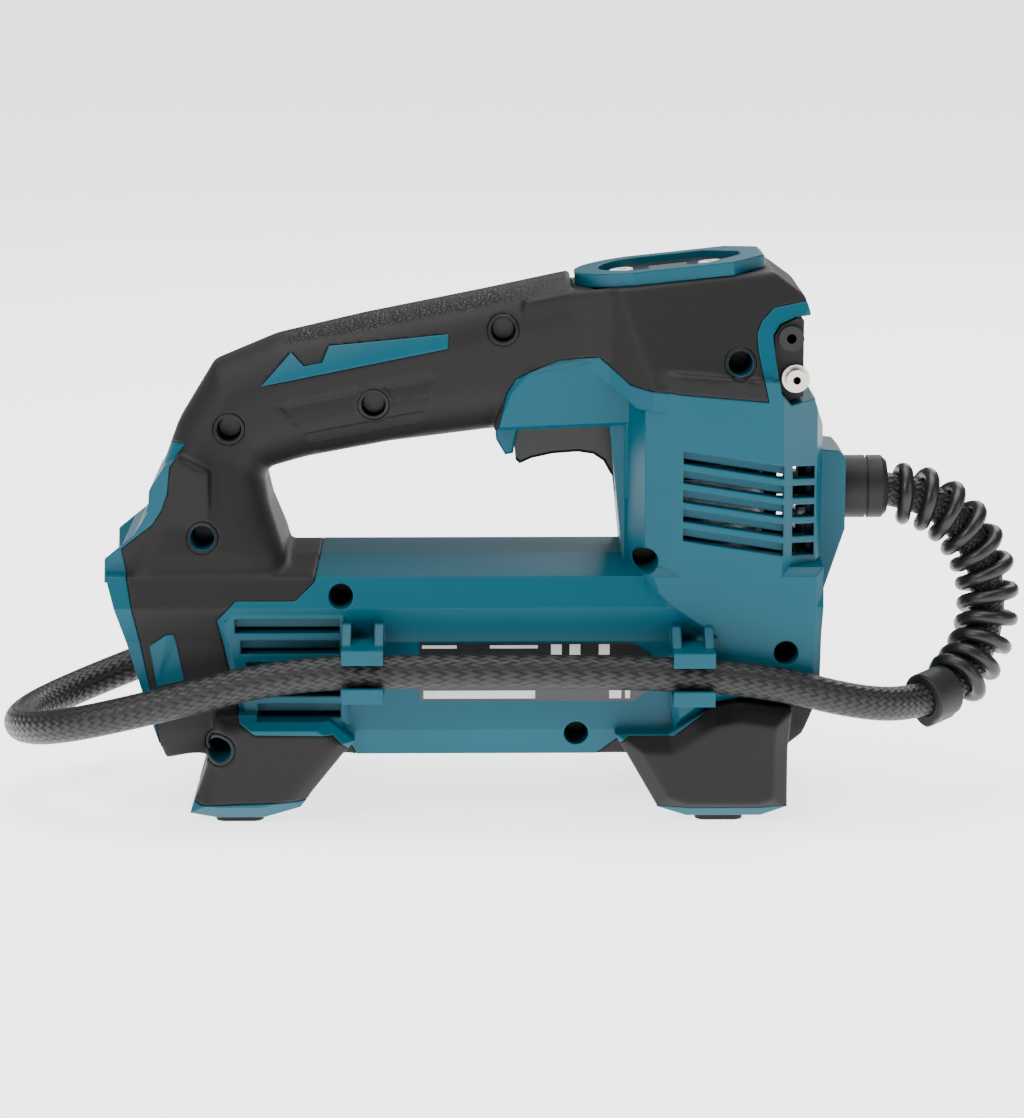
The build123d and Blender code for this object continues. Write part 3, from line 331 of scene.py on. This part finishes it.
# ---- Rear windows. On each side of the column the teal case shows through a cut in the grip; the nylon
# stands a little proud of the soft skin round it. ----
WINDOW = ((-0.1230, 0.0667), (-0.1163, 0.0713), (-0.1138, 0.0713), (-0.1128, 0.0678), (-0.1102, 0.0536),
          (-0.1204, 0.0513))
WINDOW_PROUD = 0.0004
grip_shape = bmesh.new()
grip_shape.from_mesh(grip_skin.data)
grip_tree = BVHTree.FromBMesh(grip_shape)
grip_shape.free()
for side, label in ((-1, "right"), (1, "left")):
    low, high = [], []
    for win_x, win_z in WINDOW:
        hit = grip_tree.ray_cast(Vector((win_x, side * 0.2, win_z)), Vector((0, -side, 0)))[0]
        high.append(Vector((win_x, hit.y + side * WINDOW_PROUD, win_z)))
        low.append(Vector((win_x, hit.y - side * 0.001, win_z)))
    count = len(WINDOW)
    walls = [(i, (i + 1) % count, count + (i + 1) % count, count + i) for i in range(count)]
    face = tuple(range(count))
    add_mesh(f"rear_window_{label}", high + low, [face, *walls], teal)

# ---- Trigger and switch. Glossier black moulding, polished by the finger. ----
black = Paint("black moulding", (0.006, 0.006, 0.0065), 0.32, Specular_IOR_Level=0.35)
grain = black.noise(1500, 2)
black.feed("Roughness", 0.28 + grain * 0.12).bump(grain, 0.00004, 0.3)
black.on("trigger", "trigger_switch", "terminal_block", "motor_end_cap", "cooling_fan", "pressure_sensor",
         "chuck_body", "tapered_nozzle")

# ---- Rubber pieces. Pads, accessory holder, gland and seals, dull with a little bloom. ----
rubber = Paint("black rubber", (0.008, 0.008, 0.008), 0.55, Specular_IOR_Level=0.28)
bloom = rubber.noise(220, 4)
rubber.feed("Base Color", rubber.mix(bloom, (0.006, 0.006, 0.006), (0.012, 0.012, 0.012)))
rubber.feed("Roughness", 0.45 + bloom * 0.2).bump(rubber.noise(1600, 2), 0.00005, 0.4)
rubber.on("accessory_holder", "foot_pads", "hose_gland", "hose_collar", "piston_seal", "chuck_seal", "air_tube")

# ---- Metals: turned steel, die-cast alloy, nickel plate, black oxide and bronze contacts. ----
steel = Paint("turned steel", (0.52, 0.52, 0.53), 0.3, 1.0)
lathe = steel.noise(900, 2)
steel.feed("Roughness", 0.22 + lathe * 0.2).bump(lathe, 0.00003, 0.3)
steel.on("motor_can", "armature", "motor_pinion", "crank_gear", "gear_bearing", "trigger_spring")
alloy = Paint("die-cast alloy", (0.58, 0.58, 0.6), 0.5, 1.0)
cast = alloy.noise(700, 4)
alloy.feed("Roughness", 0.4 + cast * 0.25).bump(cast, 0.0001, 0.5)
alloy.on("gear_frame", "piston_rod", "cylinder", "cylinder_head")
nickel = Paint("nickel plate", (0.76, 0.73, 0.67), 0.16, 1.0)
wear = nickel.noise(260, 4)
x, y, z = nickel.split(nickel.place())
thread = (y * 1250.0).math("PINGPONG", 0.5) * y.below(-0.0372) * y.above(-0.0412)
nickel.feed("Base Color", nickel.mix(wear, (0.55, 0.50, 0.42), (0.72, 0.68, 0.60)))
nickel.feed("Roughness", 0.16 + wear * 0.2).bump(thread, 0.0004, 0.8)
nickel.on("presta_adapter", "ball_needle", "chuck_lever", "chuck_pin")
oxide = Paint("black oxide", (0.03, 0.03, 0.032), 0.35, 1.0)
oil = oxide.noise(800, 3)
oxide.feed("Roughness", 0.28 + oil * 0.25)
oxide.on("housing_screws", "head_screws")
bronze = Paint("bronze contact", (0.72, 0.43, 0.24), 0.25, 1.0)
tarnish = bronze.noise(500, 3)
bronze.feed("Roughness", 0.2 + tarnish * 0.2)
bronze.on("terminal_contacts")

# ---- Display. Smoked film under the rim, a grey sleeping screen, two white keys and a green board below. ----
film = Paint("display film", (0.018, 0.018, 0.021), 0.18)
film.feed("Roughness", 0.14 + film.noise(400, 2) * 0.12)
film.on("display_panel")
screen = Paint("sleeping screen", (0.17, 0.19, 0.19), 0.12)
screen.feed("Base Color", screen.mix(screen.noise(90, 2), (0.15, 0.17, 0.17), (0.22, 0.24, 0.235)))
screen.on("lcd_module")
key = Paint("white key", (0.78, 0.78, 0.78), 0.4)
key.feed("Roughness", 0.35 + key.noise(900, 2) * 0.12)
key.on("power_button", "unit_button")
board = Paint("green board", (0.02, 0.12, 0.05), 0.4)
tracks = board.cells(260, "DISTANCE_TO_EDGE").above(0.06)
board.feed("Base Color", board.mix(tracks, (0.03, 0.2, 0.08), (0.015, 0.09, 0.04)))
board.on("control_board")

# ---- Key marks. The power key's mark is drawn as an open printed ring without its bar, and the unit key's as a dot, in dark ink. ----
key_ink = Paint("key ink", (0.01, 0.01, 0.012), 0.5)
key_ink.feed("Roughness", 0.45 + key_ink.noise(700, 2) * 0.1)
TILT = math.radians(6.1)
DISPLAY_AT = Vector((0.0735, 0.0, 0.20258))
ACROSS = Vector((math.cos(TILT), 0, math.sin(TILT)))
UP = Vector((-math.sin(TILT), 0, math.cos(TILT)))


def on_display(u, v, height):
    """A point in the tilted plane of the display."""
    return DISPLAY_AT + ACROSS * u + Vector((0, v, 0)) + UP * height


def printed_ring(name, u, v, outer, inner, sweep, body, height=0.00314):
    """A flat printed arc, open at the top where sweep is less than a full turn."""
    steps = 28
    verts, faces = [], []
    for i in range(steps + 1):
        angle = -math.pi / 2 + sweep * (i / steps - 0.5) + math.pi
        for reach in (outer, inner):
            verts.append(on_display(u + math.sin(angle) * reach, v + math.cos(angle) * reach, height))
    faces = [(2 * i, 2 * i + 1, 2 * i + 3, 2 * i + 2) for i in range(steps)]
    return add_mesh(name, verts, faces, key_ink, body=body)


printed_ring("power_mark", -0.018, 0.003, 0.0021, 0.0016, math.radians(290), "power_key")
printed_ring("unit_mark", 0.0155, 0.0, 0.0012, 0.0, math.radians(360), "unit_key")

# ---- Rating label. Black polyester sheet with plain rules and blocks in place of any writing. ----
sheet_black = Paint("label film", (0.016, 0.016, 0.016), 0.3)
sheet_black.feed("Roughness", 0.26 + sheet_black.noise(300, 2) * 0.1)
sheet_black.on("rating_label")
ink = Paint("label ink", (0.62, 0.62, 0.62), 0.5)
ink.feed("Roughness", 0.45 + ink.noise(500, 2) * 0.1)
marks = []
for left, low, wide, tall in (
    (-0.0200, 0.0462, 0.0420, 0.0030), (-0.0205, 0.0655, 0.0130, 0.0012), (0.0050, 0.0655, 0.0180, 0.0012),
    (0.0280, 0.0630, 0.0040, 0.0040), (0.0350, 0.0630, 0.0040, 0.0040), (0.0460, 0.0630, 0.0040, 0.0040),
    (0.0500, 0.0462, 0.0045, 0.0030), (0.0560, 0.0462, 0.0018, 0.0030),
):
    marks.append((left, low, wide, tall))
verts, faces = [], []
for left, low, wide, tall in marks:
    at = len(verts)
    verts += [(left, -0.03835, low), (left + wide, -0.03835, low), (left + wide, -0.03835, low + tall),
              (left, -0.03835, low + tall)]
    faces.append((at, at + 1, at + 2, at + 3))
add_mesh("label_marks", verts, faces, ink)

# ---- Hose. Braided polyester over rubber, 13 mm, wrapped once round the body and clipped each side. ----
HOSE_RADIUS = 0.0065
HOSE_ROUTE = [
    (0.150, 0, 0.1205), (0.170, 0, 0.118), (0.187, 0, 0.106), (0.197, 0, 0.087), (0.197, -0.005, 0.066),
    (0.187, -0.016, 0.0495), (0.170, -0.032, 0.043), (0.146, -0.0485, 0.0455), (0.106, -0.0543, 0.0572),
    (0.050, -0.054, 0.060), (-0.022, -0.054, 0.0602), (-0.072, -0.054, 0.0594), (-0.120, -0.055, 0.047),
    (-0.157, -0.046, 0.037), (-0.176, -0.018, 0.031), (-0.175, 0.014, 0.030), (-0.155, 0.039, 0.035),
    (-0.118, 0.053, 0.047), (-0.070, 0.054, 0.059), (-0.018, 0.054, 0.0605), (0.022, 0.054, 0.060),
]


def route_curve(name, bevel):
    curve = bpy.data.curves.new(name, "CURVE")
    curve.dimensions = "3D"
    curve.resolution_u = 12
    spline = curve.splines.new("NURBS")
    spline.points.add(len(HOSE_ROUTE) - 1)
    for point, at in zip(spline.points, HOSE_ROUTE):
        point.co = (*at, 1.0)
    spline.order_u = 3
    spline.use_endpoint_u = True
    curve.bevel_depth = bevel
    curve.bevel_resolution = 8
    curve.use_fill_caps = bevel > 0
    thing = bpy.data.objects.new(name, curve)
    scene.collection.objects.link(thing)
    return thing


bare = route_curve("hose_line", 0.0)
bpy.context.view_layer.update()
line_mesh = bpy.data.meshes.new_from_object(bare.evaluated_get(bpy.context.evaluated_depsgraph_get()))
line = [v.co.copy() for v in line_mesh.vertices]
bpy.data.objects.remove(bare)
line_at = [0.0]
for before, here in zip(line, line[1:]):
    line_at.append(line_at[-1] + (here - before).length)
hose_length = line_at[-1]


def along_hose(distance):
    """Point and direction at a distance from the gland end."""
    distance = min(max(distance, 0.0), hose_length - 1e-6)
    i = 0
    while line_at[i + 1] < distance:
        i += 1
    share = (distance - line_at[i]) / (line_at[i + 1] - line_at[i])
    return line[i].lerp(line[i + 1], share), (line[i + 1] - line[i]).normalized()


braid = Paint("braid", (0.008, 0.008, 0.0085), 0.5, Specular_IOR_Level=0.35)
along, around, none = braid.split(braid.place("UV"))
CARRIERS = 16
rows = along * (hose_length / 0.0042)
turns = around * float(CARRIERS)
rising = (rows + turns).math("FRACT")
falling = (rows - turns).math("FRACT")
over_up = 1.0 - ((rising - 0.5).math("ABSOLUTE") * 2.0).math("POWER", 2.0)
over_down = 1.0 - ((falling - 0.5).math("ABSOLUTE") * 2.0).math("POWER", 2.0)
checker = ((rows + turns).math("FLOOR") + (rows - turns).math("FLOOR")).math("PINGPONG", 1.0)
weave_relief_and_painted_shade = checker * over_up + (1.0 - checker) * over_down
yarns = (checker * (rising * 4.0).math("PINGPONG", 0.5) + (1.0 - checker) * (falling * 4.0).math("PINGPONG", 0.5))
# The base colour is painted darker in the gaps between the yarns and lighter on their crowns. This is painted
# shade and a painted highlight; the same profile also drives the real roughness and bump.
braid.feed("Base Color", braid.mix(weave_relief_and_painted_shade, (0.0025, 0.0025, 0.0025), (0.012, 0.0118, 0.012)))
braid.feed("Roughness", 0.55 - weave_relief_and_painted_shade * 0.18)
braid.bump(weave_relief_and_painted_shade + yarns * 0.35, 0.00032, 0.8)
hose = route_curve("hose_braided", HOSE_RADIUS)
hose.data.materials.append(braid.material)
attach(hose, "pump_body")
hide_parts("hose")

# ---- Bend guard. A coil of moulded rubber cord wound over the first part of the hose, 11 turns. ----
COIL_TURNS = 11
COIL_START = 0.0095
COIL_RUN = 0.1040
STRAND = 0.0028
coil_paint = Paint("coil rubber", (0.006, 0.006, 0.006), 0.34, Specular_IOR_Level=0.4)
coil_paint.feed("Roughness", 0.28 + coil_paint.noise(300, 3) * 0.2)
coil_paint.bump(coil_paint.noise(1200, 2), 0.00005, 0.4)
steps, ring = COIL_TURNS * 36, 12
side = Vector((0, 1, 0))
verts, faces, centres = [], [], []
for i in range(steps + 1):
    share = i / steps
    middle, ahead = along_hose(COIL_START + COIL_RUN * share)
    side = (side - ahead * side.dot(ahead)).normalized()
    up = ahead.cross(side)
    angle = 2 * math.pi * COIL_TURNS * share
    taper = min(1.0, share * 26 + 0.25, (1 - share) * 26 + 0.25)
    reach = HOSE_RADIUS + STRAND * taper + 0.0001
    centres.append((middle + (side * math.cos(angle) + up * math.sin(angle)) * reach, taper))
for i, (here, taper) in enumerate(centres):
    before = centres[max(i - 1, 0)][0]
    after = centres[min(i + 1, steps)][0]
    ahead = (after - before).normalized()
    middle, axis = along_hose(COIL_START + COIL_RUN * i / steps)
    out = (here - middle)
    out = (out - ahead * out.dot(ahead)).normalized()
    over = ahead.cross(out)
    for k in range(ring):
        a = 2 * math.pi * k / ring
        verts.append(here + (out * math.cos(a) + over * math.sin(a)) * STRAND * taper)
for i in range(steps):
    for k in range(ring):
        a, b = i * ring + k, i * ring + (k + 1) % ring
        faces.append((a, b, b + ring, a + ring))
faces += [tuple(range(ring))[::-1], tuple(steps * ring + k for k in range(ring))]
coil = add_mesh("bend_guard_coil", verts, faces, coil_paint, smooth=True)
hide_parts("bend_guard")

# ---- Hose collar. A moulded rubber band with a finger tab, which grips the hose behind the bend guard. ----
COLLAR_AT = COIL_START + COIL_RUN + 0.0085
COLLAR_PROFILE = ((-0.0065, 0.0068), (-0.0065, 0.0090), (-0.0057, 0.0098), (0.0057, 0.0098), (0.0065, 0.0090),
                  (0.0065, 0.0068))
middle, axis = along_hose(COLLAR_AT)
side = Vector((0, 0, -1))
side = (side - axis * side.dot(axis)).normalized()
over = axis.cross(side)
segments = 48
verts, faces = [], []
for k in range(segments):
    a = 2 * math.pi * k / segments
    tab = 0.0016 * max(0.0, 1.0 - abs(((a + math.pi) % (2 * math.pi)) - math.pi) / 0.42) ** 0.5
    for run, reach in COLLAR_PROFILE:
        grown = reach + (tab if reach > 0.008 else 0.0)
        verts.append(middle + axis * run + (side * math.cos(a) + over * math.sin(a)) * grown)
rows = len(COLLAR_PROFILE)
for k in range(segments):
    for j in range(rows):
        a, b = k * rows + j, k * rows + (j + 1) % rows
        c, d = ((k + 1) % segments) * rows + (j + 1) % rows, ((k + 1) % segments) * rows + j
        faces.append((a, b, c, d))
collar = add_mesh("collar_band", verts, faces, rubber)
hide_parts("hose_collar")
